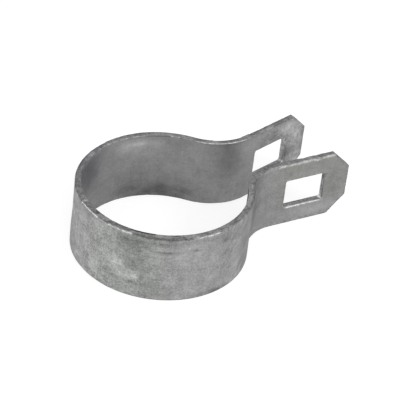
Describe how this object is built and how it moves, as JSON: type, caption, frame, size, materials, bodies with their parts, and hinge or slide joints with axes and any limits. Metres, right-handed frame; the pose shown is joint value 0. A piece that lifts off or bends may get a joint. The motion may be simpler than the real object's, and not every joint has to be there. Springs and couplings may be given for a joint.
{
  "type": "fence brace band",
  "caption": "Open ring of galvanised steel strip whose ends turn out into splayed, slotted ears with clipped corners; a bolt through the ears clamps it round a fence post.",
  "frame": {"origin": "on the ring's axis, at the middle of the strip's width", "axes": "+Z along the post; +X out between the ears, midway in their splay; the front ear on -Y and the rear ear on +Y"},
  "size_m": [0.0868, 0.0522, 0.0222],
  "materials": {
    "galvanised_steel": "hot-dip galvanised: matt grey zinc with pale mottling, darker sheared edges"
  },
  "bodies": {
    "root": {"brace_band": "galvanised_steel"}
  },
  "joints": []
}
